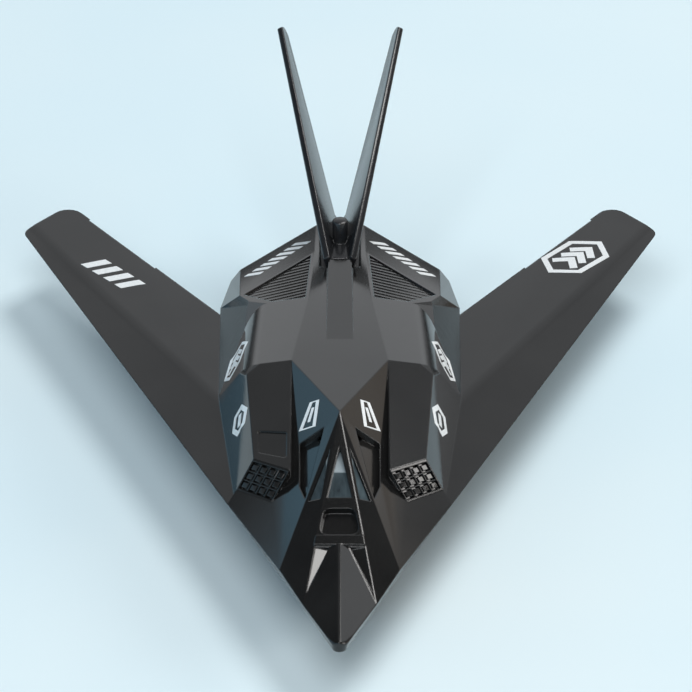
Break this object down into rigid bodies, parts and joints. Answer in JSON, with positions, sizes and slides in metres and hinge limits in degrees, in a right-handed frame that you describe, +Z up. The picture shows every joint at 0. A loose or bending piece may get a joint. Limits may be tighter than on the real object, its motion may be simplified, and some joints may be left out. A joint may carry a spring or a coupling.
{
  "type": "toy airplane",
  "caption": "Die-cast toy jet with faceted black body, swept wings, V tail, smoked canopy, grille intakes, and rolling wheels driven by a pull-back spring motor.",
  "frame": {"origin": "centre of the object's box on the surface that its wheels stand on", "axes": "+Z up, -Y towards the nose, +Y towards the tail, +X towards the port wing (the viewer's right when the nose faces the viewer)"},
  "size_m": [0.083, 0.1208, 0.0294],
  "materials": {
    "black_paint": "gloss",
    "satin_black_plastic": "satin",
    "gloss_black_plastic": "gloss",
    "smoked_clear": "polished",
    "soft_rubber": "matte",
    "motor_plastic": "satin",
    "white_nylon": "satin",
    "steel": "ground",
    "spring_steel": "tempered",
    "zinc_screw": "zinc plated",
    "white_marking": "pad printed"
  },
  "bodies": {
    "airframe": {"upper_casting": "black_paint", "base_plate": "satin_black_plastic", "canopy_glazing": "smoked_clear", "v_tail": "gloss_black_plastic", "motor_case_left": "motor_plastic", "motor_case_right": "motor_plastic", "nose_wheel_pin": "steel", "idler_pin": "steel", "spring_arbor": "steel", "mainspring": "spring_steel", "screw_front": "zinc_screw", "screw_rear_left": "zinc_screw", "screw_rear_right": "zinc_screw"},
    "rear_wheelset": {"rear_axle": "steel", "axle_pinion": "white_nylon", "main_hub_left": "satin_black_plastic", "main_hub_right": "satin_black_plastic", "main_tyre_left": "soft_rubber", "main_tyre_right": "soft_rubber"},
    "idler": {"idler_gear": "white_nylon"},
    "spring_drum": {"spring_gear": "white_nylon"},
    "nose_roller": {"nose_wheel": "satin_black_plastic"}
  },
  "joints": [
    {"name": "rear_axle_spin", "type": "hinge", "parent": "airframe", "child": "rear_wheelset", "pos_m": [0, 0.012, 0.006], "axis": [1, 0, 0], "continuous": true},
    {"name": "idler_spin", "type": "hinge", "parent": "airframe", "child": "idler", "pos_m": [0, 0.00674, 0.0081], "axis": [1, 0, 0], "continuous": true},
    {"name": "spring_gear_spin", "type": "hinge", "parent": "airframe", "child": "spring_drum", "pos_m": [0, 0.00036, 0.0091], "axis": [1, 0, 0], "continuous": true},
    {"name": "nose_wheel_spin", "type": "hinge", "parent": "airframe", "child": "nose_roller", "pos_m": [0, -0.0353, 0.0037], "axis": [1, 0, 0], "continuous": true}
  ],
  "couplings": [
    {"joint": "idler_spin", "follows": "rear_axle_spin", "ratio": -0.4},
    {"joint": "spring_gear_spin", "follows": "rear_axle_spin", "ratio": 0.13333}
  ]
}
